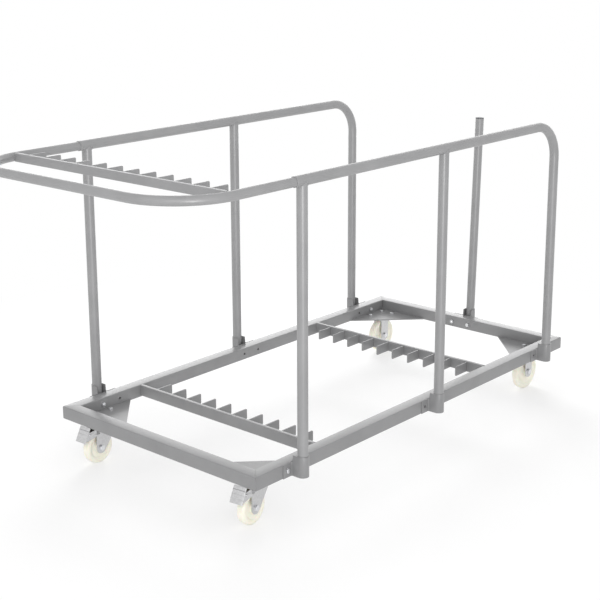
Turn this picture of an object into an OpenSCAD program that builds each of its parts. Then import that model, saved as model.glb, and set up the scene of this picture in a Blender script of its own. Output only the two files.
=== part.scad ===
// Banquet table trolley: a square-tube base on four casters, round-tube side frames
// seated in bolted sockets, a plug-in front hoop and three toothed combs that keep
// folded tables apart. X runs to the rear, Y to the right and Z up from the floor.

/* [Base frame] */
// length of the base over its rails
base_length = 1570; // [1200:10:2000]
// width of the base over its rails
base_width = 800; // [600:10:1000]
// side of the square rail tube
rail_size = 40; // [30:1:60]
// wall of the square rail tube
rail_wall = 2; // [1:0.5:4]
// outer corner radius of the square rail tube
rail_corner = 3; // [2.5:0.5:6]
// leg of each triangular corner plate
corner_plate_leg = 195; // [180:5:260]
// thickness of each corner plate
corner_plate_thickness = 4; // [3:0.5:8]

/* [Side frames] */
// outer diameter of the posts and top rails
tube_diameter = 30; // [28:1:34]
// height of the top rail's axis above the floor
top_rail_height = 952; // [700:10:1200]
// distance of the front posts from the base's front
front_post_inset = 158; // [120:2:220]
// distance of the rear posts from the base's rear
rear_post_inset = 150; // [120:2:220]
// how far the top rail runs on ahead of the front post
rail_overhang = 32; // [20:1:80]
// centre-line radius of the bend into the rear post
rear_bend_radius = 110; // [60:5:160]
// gap left at a welded saddle joint
weld_gap = 0.05; // [0.02:0.01:0.1]

/* [Front hoop] */
// outer diameter of the hoop tube
hoop_diameter = 26; // [20:1:27]
// wall of the hoop tube
hoop_wall = 1.5; // [1:0.5:3]
// distance of the hoop's cross tube ahead of the base
hoop_reach = 276; // [200:5:400]
// centre-line radius of the hoop's corners
hoop_bend_radius = 186; // [100:5:250]
// length of each hoop leg inside its top rail
hoop_insert = 120; // [100:5:200]
// radial clearance of a hoop leg in its top rail
plug_clearance = 0.08; // [0.05:0.01:0.1]

/* [Combs] */
// distance from a side rail to the middle of the nearest lower tooth
lower_comb_margin = 65.25; // [20:0.25:120]
// distance from a hoop leg to the middle of the nearest upper tooth
upper_comb_margin = 53.75; // [20:0.25:120]
// number of teeth on each lower comb
lower_tooth_count = 10; // [6:1:12]
// number of teeth on the upper comb
upper_tooth_count = 12; // [6:1:14]
// thickness of a tooth plate
tooth_thickness = 4; // [3:0.5:6]
// depth of the comb bars
bar_depth = 12; // [10:1:25]
// wall of the comb bars
bar_wall = 1.5; // [1:0.5:3]
// corner radius of the comb bars
bar_corner = 2; // [1.8:0.1:4]
// height of the lower comb bars
lower_bar_height = 35; // [25:1:40]
// length of a lower tooth
lower_tooth_length = 63; // [40:1:90]
// height of a lower tooth
lower_tooth_height = 32; // [20:1:35]
// height of the upper comb bar
upper_bar_height = 25; // [20:1:35]
// length of an upper tooth
upper_tooth_length = 56; // [40:1:90]
// height of an upper tooth
upper_tooth_height = 25; // [20:1:35]
// rounding of a tooth's tip corners
tooth_rounding = 4; // [2:0.5:8]
// distance of the front comb's front face from the base's front
front_comb_setback = 277; // [250:1:400]
// distance of the rear comb's rear face from the base's rear
rear_comb_setback = 422; // [300:1:600]
// distance of the upper comb's front face ahead of the base
upper_comb_reach = 112; // [90:1:180]
// share of the hoop tube's diameter left between its axis and the upper bar's ends
upper_bar_end_share = 0.25; // [0.2:0.05:0.4]

/* [Sockets] */
// wall of the socket brackets
socket_wall = 2; // [1.5:0.5:4]
// height of the socket brackets
socket_height = 60; // [50:1:100]
// gap between a post and the rail it stands beside
socket_gap = 12; // [8:0.5:20]
// clearance of a post in its socket
socket_clearance = 0.35; // [0.3:0.05:1]
// width of each bolting flange
flange_width = 34; // [28:1:50]

/* [Rear post] */
// length of the loose rear post
rear_post_length = 768; // [600:2:1000]
// outward lean of the loose rear post
rear_post_lean = 2; // [0:0.1:3]
// wall of the loose rear post
rear_post_wall = 1.5; // [1:0.5:3]
// lift of the leaning post's foot off the socket floor
rear_post_lift = 0.3; // [0.1:0.1:1]
// height of the cap's head above the tube
cap_head_height = 4; // [2:0.5:8]
// depth of the cap's stem inside the tube
cap_stem_depth = 14; // [8:1:30]
// clearance of the cap's stem in the tube
cap_clearance = 0.05; // [0.02:0.01:0.1]

/* [Fasteners] */
// thread diameter of the bolts
bolt_diameter = 8; // [6:1:10]
// width across flats of the bolt heads and nuts
bolt_flats = 13; // [10:0.5:17]
// height of the bolt heads
bolt_head_height = 5.3; // [4:0.1:7]
// height of the nuts
nut_height = 6.5; // [5:0.1:8]
// bolt length showing past its nut
bolt_tail = 2.5; // [1:0.5:6]
// radial clearance of a bolt in its hole
bolt_hole_clearance = 0.5; // [0.3:0.05:0.8]
// radial gap between a bolt and its nut
thread_gap = 0.05; // [0.02:0.01:0.1]

/* [Casters] */
// height of a caster from the floor to its top plate
caster_height = 136; // [134:1:160]
// distance of the caster plates' middles from the base's ends
caster_inset_x = 104; // [98:1:140]
// distance of the caster plates' middles from the base's sides
caster_inset_y = 82; // [80:1:120]
// yaw of the swivelling front casters: left, right
caster_yaws = [6, 1];
// diameter of the front wheels
wheel_diameter = 100; // [90:1:102]
// diameter of the fixed rear wheels
rear_wheel_diameter = 125; // [110:1:126]
// width of the wheel's tread
wheel_width = 26; // [22:1:27]
// rounding of the tread's edges
wheel_edge = 6; // [3:0.5:8]
// radial depth of the wheel's rim
wheel_rim = 15; // [13:0.5:20]
// thickness of the wheel's web
wheel_web = 18; // [12:1:20]
// diameter of the wheel's hub
hub_diameter = 32; // [28:1:40]
// width of the wheel's hub
hub_width = 30; // [28:0.5:30.5]
// trail of the axle behind the swivel axis
caster_trail = 43; // [35:1:46]
// length of the top plate
plate_length = 95; // [92:1:105]
// width of the top plate
plate_width = 75; // [72:1:85]
// thickness of the top plate
plate_thickness = 3.5; // [3:0.1:5]
// corner radius of the top plate
plate_corner = 8; // [4:0.5:12]
// bolt spacing along the top plate
plate_bolts_x = 70; // [68:0.5:78]
// bolt spacing across the top plate
plate_bolts_y = 50; // [48:0.5:58]
// outer diameter of the swivel race
race_diameter = 64; // [60:0.5:66]
// inner diameter of the swivel race
race_bore = 34; // [30:0.5:36]
// height of the upper race ring
race_height = 5; // [4:0.5:7]
// gap between the upper and lower races
race_gap = 1.5; // [1:0.1:2]
// diameter of a bearing ball
ball_diameter = 7; // [6:0.1:8]
// number of balls in a swivel race
ball_count = 12; // [8:1:16]
// clearance of the balls in their grooves
ball_clearance = 0.1; // [0.05:0.01:0.2]
// diameter of the kingpin
kingpin_diameter = 12; // [10:0.5:14]
// diameter of the kingpin's countersunk head
kingpin_head = 18; // [16:0.5:22]
// diameter of the kingpin's lower head
kingpin_foot = 26; // [20:0.5:30]
// height of the kingpin's lower head
kingpin_foot_height = 4; // [3:0.5:5]
// radial clearance of a running fit
running_clearance = 0.08; // [0.05:0.01:0.1]
// end play of a running part
end_play = 0.5; // [0.3:0.1:1]
// thickness of the fork's pressed plate
fork_thickness = 2.5; // [2:0.5:4]
// width inside the fork's cheeks
fork_inside = 32; // [31.5:0.5:36]
// height of the fork crown's underside
fork_crown_height = 112; // [108:1:114]
// radius of the fork's crown disc
fork_crown_radius = 35; // [34:0.5:38]
// fork cheek's reach ahead of the swivel axis
cheek_front = 28; // [8:1:29]
// fork cheek's reach behind the axle at its top
cheek_back = 18; // [15:1:22]
// radius of the fork cheek's rounded end
cheek_end_radius = 18; // [14:0.5:20]
// width of the fixed rear forks' legs
rear_leg_width = 40; // [30:1:44]
// diameter of the axle bolt
axle_diameter = 10; // [8:0.5:12]
// width across flats of the axle bolt
axle_flats = 16; // [13:0.5:19]
// height of the axle bolt's head and nut
axle_head_height = 6.5; // [5:0.5:9]
// outer diameter of the axle bush
bush_diameter = 15; // [13:0.5:18]

/* [Brake pedals] */
// distance of the pedal pin behind the axle
pedal_pin_back = 43.5; // [40:0.5:50]
// height of the pedal pin above the axle
pedal_pin_rise = 53; // [49:1:54]
// diameter of the pedal pin
pedal_pin_diameter = 8; // [6:0.5:9]
// length of the pedal pin past the pedal at each end
pedal_pin_end = 2; // [1:0.5:4]
// radius of the fork's lug round the pedal pin
pedal_lug_radius = 8; // [7:0.5:10]
// radius of the pedal's barrel on its pin
pedal_barrel_radius = 7; // [6:0.5:7.5]
// width of the pedal's barrel on its pin
pedal_barrel_width = 30; // [27:1:31]
// width of the neck between the barrel and the foot plate
pedal_neck_width = 26; // [22:1:26]
// height of the neck between the barrel and the foot plate
pedal_neck_height = 8; // [6:0.5:10]
// gap between the fork and the pedal around it
pedal_gap = 0.6; // [0.4:0.1:1.2]
// thickness of the pedal's side walls
pedal_wall = 1.5; // [1:0.1:2.5]
// reach of the side walls inwards from the pin
pedal_wall_reach = 25; // [16:1:28]
// start of the side walls above the pin
pedal_wall_rise = 7; // [6:0.5:12]
// how far the foot plate stands out past the side walls
pedal_lip = 0.4; // [0.2:0.1:4]
// length of the pedal's foot plate
pedal_length = 49; // [40:1:54]
// length of the foot plate above the pin
pedal_rise = 20; // [16:0.5:21]
// thickness of the pedal's plate
pedal_thickness = 3; // [2:0.5:5]
// downward slope of the foot plate
pedal_slope = 63; // [50:1:75]
// radius of the ribs on the foot plate
pedal_rib = 1.6; // [1:0.1:2.5]
// share of a rib's radius sunk into the foot plate
pedal_rib_sink_share = 0.3; // [0.2:0.05:0.5]
// number of ribs on the foot plate
pedal_rib_count = 3; // [2:1:6]
// radial depth of the brake shoe
shoe_depth = 12; // [10:0.5:14]
// length of the brake shoe along the tread
shoe_length = 14; // [10:0.5:20]
// width of the brake shoe
shoe_width = 24; // [18:1:28]
// gap between the resting shoe and the tread
shoe_clearance = 3.4; // [3.2:0.1:5]
// direction of the brake shoe from the axle, up from the rear
shoe_angle = 42; // [38:1:46]

/* [Hidden] */
$fn = 64;
// overrun of every cut past the faces it opens
overrun = 1;
corners = ["front_left", "front_right", "rear_left", "rear_right"];
sides = ["left", "right"];

paint = [0.56, 0.57, 0.58];
zinc = [0.78, 0.80, 0.83];
nylon = [0.93, 0.90, 0.78];
plug = [0.22, 0.22, 0.23];

rail_bottom = caster_height;
rail_top = rail_bottom + rail_size;
half_width = base_width / 2;
inner_half_width = half_width - rail_size;
post_offset = socket_gap + tube_diameter / 2;
side_post_y = half_width + post_offset;
lower_half_row = inner_half_width - lower_comb_margin;
upper_half_row = side_post_y - hoop_diameter / 2 - upper_comb_margin;
front_post_x = front_post_inset;
back_post_x = base_length - rear_post_inset;
post_xs = [front_post_x, (front_post_x + back_post_x) / 2, back_post_x];
top_rail_front = front_post_x - rail_overhang;
tube_bore = hoop_diameter + 2 * plug_clearance;
rear_post_x = base_length + post_offset;
socket_floor = rail_bottom + socket_wall;
socket_radius = tube_diameter / 2 + socket_clearance;
socket_outer = socket_radius + socket_wall;
socket_bolt_offset = socket_outer + flange_width / 2;
bolt_hole = bolt_diameter + 2 * bolt_hole_clearance;
hoop_leg_end = top_rail_front + hoop_insert;
hoop_bend_x = hoop_bend_radius - hoop_reach;
hoop_bend_y = side_post_y - hoop_bend_radius;
socket_top = rail_bottom + socket_height;
rear_post_depth = socket_height - socket_wall - rear_post_lift - tube_diameter / 2 * sin(rear_post_lean);

wheel_radius = wheel_diameter / 2;
axle_height = wheel_radius;
rear_wheel_radius = rear_wheel_diameter / 2;
plate_underside = caster_height - plate_thickness;
race_mid_radius = (race_diameter + race_bore) / 4;
upper_race_bottom = plate_underside - race_height;
lower_race_top = upper_race_bottom - race_gap;
ball_height = upper_race_bottom - race_gap / 2;
crown_top = fork_crown_height + fork_thickness;
cheek_y = fork_inside / 2;
fork_outer = cheek_y + fork_thickness;
pin_x = -caster_trail - pedal_pin_back;
pin_z = axle_height + pedal_pin_rise;
cheek_rise = crown_top - axle_height;
cheek_run = caster_trail + cheek_front;
cheek_tangent = atan2(cheek_rise, cheek_run) - acos(cheek_end_radius / norm([cheek_run, cheek_rise]));
pedal_face = pedal_lug_radius + pedal_gap + pedal_thickness;
pedal_wall_inner = fork_outer + pedal_gap;
pedal_half = pedal_wall_inner + pedal_wall + pedal_lip;
shoe_radius = wheel_radius + shoe_clearance + shoe_depth / 2;

// ends of the whole object along X, used to put the origin at its middle
rear_post_top = rear_post_length - rear_post_depth + cap_head_height;
x_front = -hoop_reach - hoop_diameter / 2;
x_rear = rear_post_x + rear_post_top * sin(rear_post_lean) + tube_diameter / 2 * cos(rear_post_lean);
x_middle = (x_front + x_rear) / 2;

module centred() {
    translate([-x_middle, 0, 0]) children();
}

module rounded_rect(size, radius) {
    square([size[0] - 2 * radius, size[1]], center = true);
    square([size[0], size[1] - 2 * radius], center = true);
    for (u = [-1, 1], v = [-1, 1])
        translate([u * (size[0] / 2 - radius), v * (size[1] / 2 - radius)]) circle(radius);
}

module box_tube(size, radius, wall, length) {
    linear_extrude(length) difference() {
        rounded_rect(size, radius);
        rounded_rect([size[0] - 2 * wall, size[1] - 2 * wall], radius - wall);
    }
}

module hex(flats, height) {
    cylinder(d = flats / cos(30), h = height, $fn = 6);
}

// one bend of round rod in the XY plane, from +X towards +Y
module elbow(radius, diameter) {
    rotate_extrude(angle = 90) translate([radius, 0]) circle(d = diameter);
}

// bolt positions of the sockets: point on the rail's outer face and outward turn
socket_places = concat(
    [for (x = post_xs) [x, -half_width, -90]],
    [for (x = post_xs) [x, half_width, 90]],
    [[base_length, 0, 0]]
);

// the bolts that are fitted, by place and flange: the other flange holes are empty
fitted_bolts = [[0, -1], [2, 1], [3, 1], [5, -1], [6, -1], [6, 1]];

module at_flange_hole(p, u) {
    translate([p[0], p[1], rail_bottom + rail_size / 2])
        rotate(p[2]) translate([0, u * socket_bolt_offset, 0]) rotate([0, 90, 0]) children();
}

module socket_bolt_axes() {
    for (b = fitted_bolts) at_flange_hole(socket_places[b[0]], b[1]) children();
}

module rail_bolt_holes(places) {
    for (p = places, u = [-1, 1]) at_flange_hole(p, u)
        translate([0, 0, -rail_size - overrun]) cylinder(d = bolt_hole, h = rail_size + 2 * overrun);
}

module cross_rail(x_outer, direction) {
    x_inner = x_outer + direction * rail_size;
    intersection() {
        translate([(x_outer + x_inner) / 2, half_width, rail_bottom + rail_size / 2])
            rotate([90, 0, 0]) box_tube([rail_size, rail_size], rail_corner, rail_wall, base_width);
        translate([0, 0, rail_bottom - overrun]) linear_extrude(rail_size + 2 * overrun)
            polygon([[x_outer, -half_width], [x_inner, -inner_half_width],
                [x_inner, inner_half_width], [x_outer, half_width]]);
    }
}

module front_rail() {
    color(paint) centred() cross_rail(0, 1);
}

module rear_rail() {
    color(paint) centred() difference() {
        cross_rail(base_length, -1);
        rail_bolt_holes([socket_places[6]]);
    }
}

module side_rail(i) {
    side = 2 * i - 1;
    color(paint) centred() difference() {
        intersection() {
            translate([0, side * (half_width - rail_size / 2), rail_bottom + rail_size / 2])
                rotate([90, 0, 90]) box_tube([rail_size, rail_size], rail_corner, rail_wall, base_length);
            translate([0, 0, rail_bottom - overrun]) linear_extrude(rail_size + 2 * overrun)
                polygon([[0, side * half_width], [base_length, side * half_width],
                    [base_length - rail_size, side * inner_half_width],
                    [rail_size, side * inner_half_width]]);
        }
        rail_bolt_holes([for (k = [0:2]) socket_places[3 * i + k]]);
    }
}

function corner_x(i) = i < 2 ? 1 : -1;
function corner_y(i) = i % 2 == 0 ? -1 : 1;
function swivel_x(i) = i < 2 ? caster_inset_x : base_length - caster_inset_x;
function swivel_y(i) = corner_y(i) * (half_width - caster_inset_y);

module at_plate_hole(i, u, v) {
    translate([swivel_x(i) + u * plate_bolts_x / 2, swivel_y(i) + v * plate_bolts_y / 2, 0]) children();
}

// three bolts to a caster: the hole nearest the corner plate's slant edge has none
module plate_bolt_axes(i) {
    for (u = [-1, 1], v = [-1, 1])
        if (u != corner_x(i) || v == corner_y(i)) at_plate_hole(i, u, v) children();
}

module corner_plate(i) {
    x = i < 2 ? rail_size : base_length - rail_size;
    y = corner_y(i) * inner_half_width;
    color(paint) centred() difference() {
        translate([0, 0, rail_bottom]) linear_extrude(corner_plate_thickness)
            polygon([[x, y], [x + corner_x(i) * corner_plate_leg, y],
                [x, y - corner_y(i) * corner_plate_leg]]);
        plate_bolt_axes(i) translate([0, 0, rail_bottom - overrun])
            cylinder(d = bolt_hole, h = corner_plate_thickness + 2 * overrun);
    }
}

// plan of a socket's U: straight walls out from the rail, closed round the post
module socket_plan(radius) {
    translate([0, -radius]) square([post_offset, 2 * radius]);
    translate([post_offset, 0]) circle(radius);
}

// one socket, standing on a rail whose outer face is the YZ plane
module socket() {
    difference() {
        union() {
            linear_extrude(socket_height) socket_plan(socket_outer);
            translate([0, -socket_outer - flange_width, 0])
                cube([socket_wall, 2 * (socket_outer + flange_width), rail_size]);
        }
        translate([0, 0, socket_wall]) linear_extrude(socket_height) union() {
            socket_plan(socket_radius);
            translate([-overrun, -socket_radius]) square([2 * overrun, 2 * socket_radius]);
        }
        for (u = [-1, 1])
            translate([-overrun, u * socket_bolt_offset, rail_size / 2]) rotate([0, 90, 0])
                cylinder(d = bolt_hole, h = socket_wall + 2 * overrun);
    }
}

module sockets_at(places) {
    for (p = places) translate([p[0], p[1], rail_bottom]) rotate(p[2]) socket();
}

module side_sockets(i) {
    color(paint) centred() sockets_at([for (k = [0:2]) socket_places[3 * i + k]]);
}

module rear_socket() {
    color(paint) centred() sockets_at([socket_places[6]]);
}

module socket_bolts() {
    reach = socket_wall + rail_size + nut_height + bolt_tail;
    color(zinc) centred() socket_bolt_axes() union() {
        translate([0, 0, socket_wall]) hex(bolt_flats, bolt_head_height);
        translate([0, 0, socket_wall - reach]) cylinder(d = bolt_diameter, h = reach + overrun);
    }
}

module nut(flats, bore, height) {
    difference() {
        hex(flats, height);
        translate([0, 0, -overrun]) cylinder(d = bore, h = height + 2 * overrun);
    }
}

module socket_nuts() {
    color(zinc) centred() socket_bolt_axes()
        translate([0, 0, -rail_size - nut_height])
            nut(bolt_flats, bolt_diameter + 2 * thread_gap, nut_height);
}

// rod of a side frame: along the top, round the bend and down to the rear socket
module side_frame_rod(diameter, extra) {
    bend_x = back_post_x - rear_bend_radius;
    bend_z = top_rail_height - rear_bend_radius;
    translate([top_rail_front - extra, 0, top_rail_height]) rotate([0, 90, 0])
        cylinder(d = diameter, h = bend_x - top_rail_front + extra);
    translate([bend_x, 0, bend_z]) rotate([90, 0, 0]) elbow(rear_bend_radius, diameter);
    translate([back_post_x, 0, socket_floor - extra])
        cylinder(d = diameter, h = bend_z - socket_floor + extra);
}

module top_rail(i) {
    color(paint) centred() translate([0, (2 * i - 1) * side_post_y, 0]) difference() {
        side_frame_rod(tube_diameter, 0);
        side_frame_rod(tube_bore, overrun);
    }
}

module straight_post(i, x) {
    color(paint) centred() translate([0, (2 * i - 1) * side_post_y, 0]) difference() {
        translate([x, 0, socket_floor]) difference() {
            cylinder(d = tube_diameter, h = top_rail_height - socket_floor);
            translate([0, 0, -overrun])
                cylinder(d = tube_bore, h = top_rail_height - socket_floor + 2 * overrun);
        }
        translate([x - tube_diameter, 0, top_rail_height]) rotate([0, 90, 0])
            cylinder(d = tube_diameter + 2 * weld_gap, h = 2 * tube_diameter);
    }
}

module comb_bar(x, z, length, height) {
    translate([x, length / 2, z]) rotate([90, 0, 0])
        box_tube([bar_depth, height], bar_corner, bar_wall, length);
}

module tooth_profile(length, height) {
    square([length - tooth_rounding, height]);
    translate([length - tooth_rounding, tooth_rounding])
        square([tooth_rounding, height - 2 * tooth_rounding]);
    for (z = [tooth_rounding, height - tooth_rounding])
        translate([length - tooth_rounding, z]) circle(tooth_rounding);
}

module comb_teeth(x, z_top, direction, count, half_row, length, height) {
    for (k = [0:count - 1])
        translate([x, (2 * k / (count - 1) - 1) * half_row, z_top - height])
            rotate(direction > 0 ? 0 : 180) rotate([90, 0, 0])
                translate([0, 0, -tooth_thickness / 2]) linear_extrude(tooth_thickness)
                    tooth_profile(length, height);
}

module front_comb_bar() {
    color(paint) centred() comb_bar(front_comb_setback + bar_depth / 2,
        rail_top - lower_bar_height / 2, 2 * inner_half_width, lower_bar_height);
}

module front_comb_teeth() {
    color(paint) centred() comb_teeth(front_comb_setback + bar_depth, rail_top - bar_corner, 1,
        lower_tooth_count, lower_half_row, lower_tooth_length, lower_tooth_height);
}

module rear_comb_bar() {
    color(paint) centred() comb_bar(base_length - rear_comb_setback - bar_depth / 2,
        rail_top - lower_bar_height / 2, 2 * inner_half_width, lower_bar_height);
}

module rear_comb_teeth() {
    color(paint) centred() comb_teeth(base_length - rear_comb_setback - bar_depth,
        rail_top - bar_corner, -1, lower_tooth_count, lower_half_row, lower_tooth_length,
        lower_tooth_height);
}

module hoop_bends(diameter) {
    for (side = [-1, 1])
        translate([hoop_bend_x, side * hoop_bend_y, top_rail_height])
            rotate(side > 0 ? 90 : 180) elbow(hoop_bend_radius, diameter);
}

module hoop_rod(diameter, extra) {
    translate([-hoop_reach, hoop_bend_y, top_rail_height]) rotate([90, 0, 0])
        cylinder(d = diameter, h = 2 * hoop_bend_y);
    hoop_bends(diameter);
    for (side = [-1, 1])
        translate([hoop_bend_x, side * side_post_y, top_rail_height]) rotate([0, 90, 0])
            cylinder(d = diameter, h = hoop_leg_end - hoop_bend_x + extra);
}

module front_hoop() {
    color(paint) centred() difference() {
        hoop_rod(hoop_diameter, 0);
        hoop_rod(hoop_diameter - 2 * hoop_wall, overrun);
    }
}

module upper_comb_bar() {
    length = 2 * (side_post_y - upper_bar_end_share * hoop_diameter);
    color(paint) centred() difference() {
        comb_bar(bar_depth / 2 - upper_comb_reach, top_rail_height, length, upper_bar_height);
        hoop_bends(hoop_diameter + 2 * weld_gap);
    }
}

module upper_comb_teeth() {
    color(paint) centred() comb_teeth(bar_depth - upper_comb_reach,
        top_rail_height + upper_tooth_height / 2, 1, upper_tooth_count, upper_half_row,
        upper_tooth_length, upper_tooth_height);
}

// foot of the loose post, which leans about the mouth of its socket
module rear_post_frame() {
    translate([rear_post_x, 0, socket_top]) rotate([0, rear_post_lean, 0])
        translate([0, 0, -rear_post_depth]) children();
}

module rear_post() {
    color(paint) centred() rear_post_frame() difference() {
        cylinder(d = tube_diameter, h = rear_post_length);
        translate([0, 0, -overrun])
            cylinder(d = tube_diameter - 2 * rear_post_wall, h = rear_post_length + 2 * overrun);
    }
}

module rear_post_cap() {
    stem = tube_diameter - 2 * rear_post_wall - 2 * cap_clearance;
    color(plug) centred() rear_post_frame() translate([0, 0, rear_post_length]) {
        cylinder(d = tube_diameter, h = cap_head_height);
        translate([0, 0, -cap_stem_depth]) cylinder(d = stem, h = cap_stem_depth + cap_head_height);
    }
}

module caster_bolts() {
    reach = corner_plate_thickness + plate_thickness + nut_height + bolt_tail;
    color(zinc) centred() for (i = [0:3]) plate_bolt_axes(i)
        translate([0, 0, rail_bottom + corner_plate_thickness]) {
            hex(bolt_flats, bolt_head_height);
            translate([0, 0, -reach]) cylinder(d = bolt_diameter, h = reach + overrun);
        }
}

module caster_nuts() {
    color(zinc) centred() for (i = [0:3]) plate_bolt_axes(i)
        translate([0, 0, rail_bottom - plate_thickness - nut_height])
            nut(bolt_flats, bolt_diameter + 2 * thread_gap, nut_height);
}

module at_swivel(i, yaw) {
    centred() translate([swivel_x(i), swivel_y(i), 0]) rotate(yaw) children();
}

// ring of the balls' path, as a cutter for the two grooves
module ball_path() {
    translate([0, 0, ball_height]) rotate_extrude() translate([race_mid_radius, 0])
        circle(d = ball_diameter + 2 * ball_clearance);
}

module kingpin_rod(gap) {
    translate([0, 0, fork_crown_height - end_play])
        cylinder(d = kingpin_diameter + 2 * gap, h = caster_height - fork_crown_height + end_play);
    translate([0, 0, plate_underside])
        cylinder(d1 = kingpin_diameter + 2 * gap, d2 = kingpin_head + 2 * gap, h = plate_thickness);
}

module top_plate(i) {
    color(zinc) difference() {
        at_swivel(i, 0) difference() {
            union() {
                translate([0, 0, plate_underside]) linear_extrude(plate_thickness)
                    rounded_rect([plate_length, plate_width], plate_corner);
                if (i < 2) translate([0, 0, upper_race_bottom])
                    cylinder(d = race_diameter, h = race_height + plate_thickness / 2);
            }
            if (i < 2) {
                translate([0, 0, upper_race_bottom - overrun])
                    cylinder(d = race_bore, h = race_height + overrun);
                ball_path();
                kingpin_rod(running_clearance);
            }
        }
        centred() for (u = [-1, 1], v = [-1, 1]) at_plate_hole(i, u, v)
            translate([0, 0, plate_underside - overrun])
                cylinder(d = bolt_hole, h = plate_thickness + 2 * overrun);
    }
}

module kingpins() {
    color(zinc) for (i = [0, 1]) at_swivel(i, 0) {
        kingpin_rod(0);
        translate([0, 0, fork_crown_height - end_play - kingpin_foot_height])
            cylinder(d = kingpin_foot, h = kingpin_foot_height);
    }
}

module swivel_balls() {
    color(zinc) for (i = [0, 1]) at_swivel(i, 0) for (k = [0:ball_count - 1])
        rotate(k * 360 / ball_count) translate([race_mid_radius, 0, ball_height])
            sphere(d = ball_diameter);
}

// outline of a swivel fork's cheek in the XZ plane, with a lug for the pedal pin
module cheek_profile() {
    polygon([[cheek_front, crown_top], [-caster_trail - cheek_back, crown_top],
        [-caster_trail - cheek_end_radius, axle_height], [-caster_trail, axle_height],
        [-caster_trail + cheek_end_radius * cos(cheek_tangent),
            axle_height + cheek_end_radius * sin(cheek_tangent)]]);
    translate([-caster_trail, axle_height]) circle(cheek_end_radius);
    polygon([[-caster_trail, crown_top], [-caster_trail - cheek_back, crown_top],
        [pin_x, pin_z + pedal_lug_radius], [pin_x, pin_z - pedal_lug_radius],
        [-caster_trail, pin_z - pedal_lug_radius]]);
    translate([pin_x, pin_z]) circle(pedal_lug_radius);
}

// outline of a fixed fork's leg in the XZ plane
module leg_profile() {
    translate([-rear_leg_width / 2, rear_wheel_radius])
        square([rear_leg_width, plate_underside - rear_wheel_radius]);
    translate([0, rear_wheel_radius]) circle(d = rear_leg_width);
}

module swivel_fork(i) {
    at_swivel(i, caster_yaws[i]) difference() {
        union() {
            translate([0, 0, fork_crown_height]) linear_extrude(fork_thickness) union() {
                circle(fork_crown_radius);
                translate([-caster_trail - cheek_back, -fork_outer])
                    square([caster_trail + cheek_back + cheek_front, 2 * fork_outer]);
            }
            translate([0, 0, fork_crown_height])
                cylinder(d = race_diameter, h = lower_race_top - fork_crown_height);
            for (y = [-cheek_y, fork_outer])
                translate([0, y, 0]) rotate([90, 0, 0]) linear_extrude(fork_thickness) cheek_profile();
        }
        translate([0, 0, crown_top]) cylinder(d = race_bore, h = lower_race_top);
        ball_path();
        translate([0, 0, fork_crown_height - overrun])
            cylinder(d = kingpin_diameter + 2 * running_clearance, h = lower_race_top);
        translate([pin_x, fork_outer + overrun, pin_z]) rotate([90, 0, 0])
            cylinder(d = pedal_pin_diameter + 2 * thread_gap, h = 2 * (fork_outer + overrun));
    }
}

module fixed_fork(i) {
    at_swivel(i, 0) {
        translate([-rear_leg_width / 2, -fork_outer, plate_underside - fork_thickness])
            cube([rear_leg_width, 2 * fork_outer, fork_thickness]);
        for (y = [-cheek_y, fork_outer])
            translate([0, y, 0]) rotate([90, 0, 0]) linear_extrude(fork_thickness) leg_profile();
    }
}

module fork(i) {
    color(zinc) difference() {
        if (i < 2) swivel_fork(i);
        else fixed_fork(i);
        at_axle(i) translate([0, 0, -fork_outer - overrun])
            cylinder(d = axle_diameter + 2 * thread_gap, h = 2 * (fork_outer + overrun));
    }
}

module at_axle(i) {
    if (i < 2)
        at_swivel(i, caster_yaws[i])
            translate([-caster_trail, 0, axle_height]) rotate([90, 0, 0]) children();
    else
        at_swivel(i, 0) translate([0, 0, rear_wheel_radius]) rotate([90, 0, 0]) children();
}

module axle_bolt(i) {
    reach = 2 * fork_outer + axle_head_height + bolt_tail;
    color(zinc) at_axle(i) translate([0, 0, fork_outer]) {
        hex(axle_flats, axle_head_height);
        translate([0, 0, -reach]) cylinder(d = axle_diameter, h = reach + overrun);
    }
}

module axle_nut(i) {
    color(zinc) at_axle(i) translate([0, 0, -fork_outer - axle_head_height])
        nut(axle_flats, axle_diameter + 2 * thread_gap, axle_head_height);
}

module axle_bush(i) {
    color(zinc) at_axle(i) translate([0, 0, -cheek_y]) difference() {
        cylinder(d = bush_diameter, h = fork_inside);
        translate([0, 0, -overrun])
            cylinder(d = axle_diameter + 2 * thread_gap, h = fork_inside + 2 * overrun);
    }
}

module wheel(i) {
    bore = bush_diameter / 2 + running_clearance;
    rim_middle = (i < 2 ? wheel_radius : rear_wheel_radius) - wheel_rim / 2;
    color(nylon) at_axle(i) rotate_extrude() union() {
        translate([rim_middle, 0]) rounded_rect([wheel_rim, wheel_width], wheel_edge);
        translate([bore, -wheel_web / 2]) square([rim_middle - bore, wheel_web]);
        translate([bore, -hub_width / 2]) square([hub_diameter / 2 - bore, hub_width]);
    }
}

module at_pedal(i) {
    at_swivel(i, caster_yaws[i]) translate([pin_x, 0, pin_z]) rotate([90, 0, 0]) children();
}

// outline of a pedal's side wall, down the slope and inwards from the pin
module pedal_wall_profile() {
    root = pedal_thickness / 2 - pedal_face;
    polygon([[-pedal_wall_rise, root], [-pedal_wall_rise, pedal_wall_reach], [0, pedal_wall_reach],
        [pedal_length - pedal_rise - pedal_thickness, root]]);
}

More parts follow.
